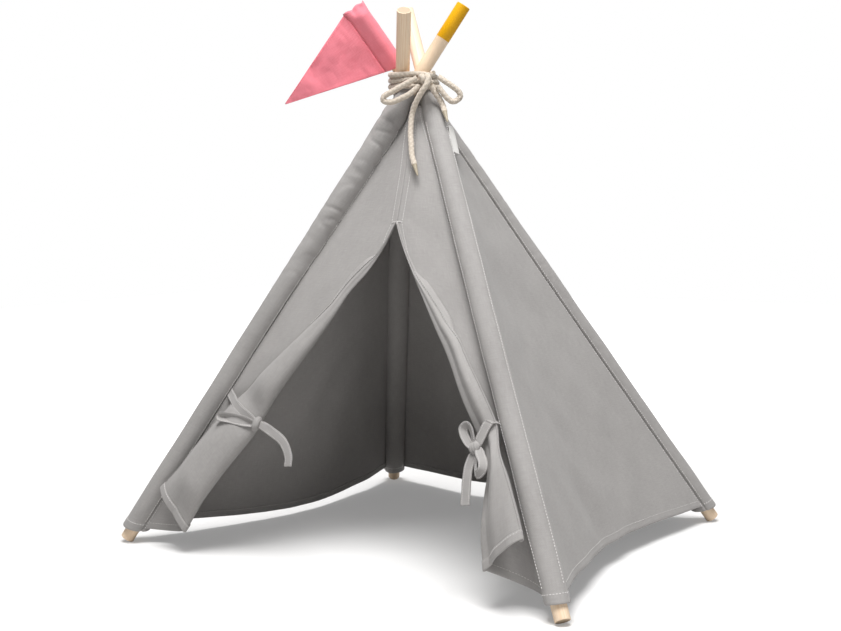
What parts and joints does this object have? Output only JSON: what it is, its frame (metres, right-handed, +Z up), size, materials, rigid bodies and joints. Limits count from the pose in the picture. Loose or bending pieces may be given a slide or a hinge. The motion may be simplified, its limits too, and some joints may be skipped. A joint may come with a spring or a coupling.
{
  "type": "play tent",
  "caption": "Small four-pole play tent: lashed round poles, a grey sewn cotton cover with a tied-back door, a rope bow and a pink pennant.",
  "frame": {"origin": "on the floor, under the middle of the tent's outline", "axes": "+Z up, the door faces -Y, and seen from the door +X is to the right"},
  "size_m": [0.686, 0.5385, 0.7133],
  "materials": {
    "birch": "fine sanded, unlacquered",
    "grey_cotton": "plain-weave cotton",
    "cream_rope": "twisted cotton",
    "rope_tip": "hardened rope end",
    "pink_cotton": "plain-weave cotton",
    "label_tape": "satin tape, blank"
  },
  "bodies": {
    "back_right_side": {"pole_back_right": "birch", "sleeve_back_right": "grey_cotton", "wall_right": "grey_cotton", "wall_back": "grey_cotton", "lashing_rope": "cream_rope", "rope_knot": "cream_rope", "bow_loop_left": "cream_rope", "bow_loop_right": "cream_rope", "rope_tail_front": "cream_rope", "rope_tail_side": "cream_rope", "rope_tip_front": "rope_tip", "rope_tip_side": "rope_tip"},
    "front_left_side": {"pole_front_left": "birch", "sleeve_front_left": "grey_cotton", "front_panel_left": "grey_cotton", "door_flap_left": "grey_cotton", "tie_left_strap": "grey_cotton", "tie_left_knot": "grey_cotton", "tie_left_loop": "grey_cotton", "tie_left_tail": "grey_cotton"},
    "front_right_side": {"pole_front_right": "birch", "sleeve_front_right": "grey_cotton", "front_panel_right": "grey_cotton", "door_flap_right": "grey_cotton", "tie_right_strap": "grey_cotton", "tie_right_knot": "grey_cotton", "tie_right_loop_high": "grey_cotton", "tie_right_loop_low": "grey_cotton", "tie_right_tail": "grey_cotton", "label": "label_tape"},
    "back_left_side": {"pole_back_left": "birch", "sleeve_back_left": "grey_cotton", "wall_left": "grey_cotton"},
    "pennant_cloth": {"pennant_sleeve": "pink_cotton", "pennant": "pink_cotton"}
  },
  "joints": [
    {"name": "fold_front_left", "type": "hinge", "parent": "back_right_side", "child": "front_left_side", "pos_m": [0.00876, -0.06566, 0.59619], "axis": [0.6138, -0.7833, -0.0984], "range_deg": [0, 61.14], "deforming": ["sleeve_front_left", "front_panel_left", "door_flap_left", "tie_left_strap", "tie_left_knot", "tie_left_loop", "tie_left_tail", "lashing_rope", "rope_knot", "bow_loop_left", "bow_loop_right", "rope_tail_front", "rope_tail_side", "rope_tip_front", "rope_tip_side", "pennant", "pennant_sleeve"]},
    {"name": "fold_front_right", "type": "hinge", "parent": "back_right_side", "child": "front_right_side", "pos_m": [0.00754, -0.04034, 0.61273], "axis": [0.8871, 0.0564, 0.458], "range_deg": [0, 38.09], "deforming": ["sleeve_front_right", "front_panel_right", "door_flap_right", "label", "wall_right", "sleeve_back_right", "tie_right_strap", "tie_right_knot", "tie_right_loop_high", "tie_right_loop_low", "tie_right_tail"]},
    {"name": "fold_back_left", "type": "hinge", "parent": "back_right_side", "child": "back_left_side", "pos_m": [-0.01338, -0.05786, 0.59422], "axis": [-0.0325, -0.8858, -0.463], "range_deg": [0, 40.49], "deforming": ["sleeve_back_left", "wall_left", "wall_back"]},
    {"name": "pennant_turn", "type": "hinge", "parent": "back_right_side", "child": "pennant_cloth", "pos_m": [-0.05655, -0.08742, 0.69299], "axis": [-0.3968, -0.4137, 0.8194], "range_deg": [-75, 75]}
  ],
  "couplings": [
    {"joint": "fold_front_right", "follows": "fold_front_left", "ratio": 0.62136},
    {"joint": "fold_back_left", "follows": "fold_front_left", "ratio": 0.66065}
  ]
}
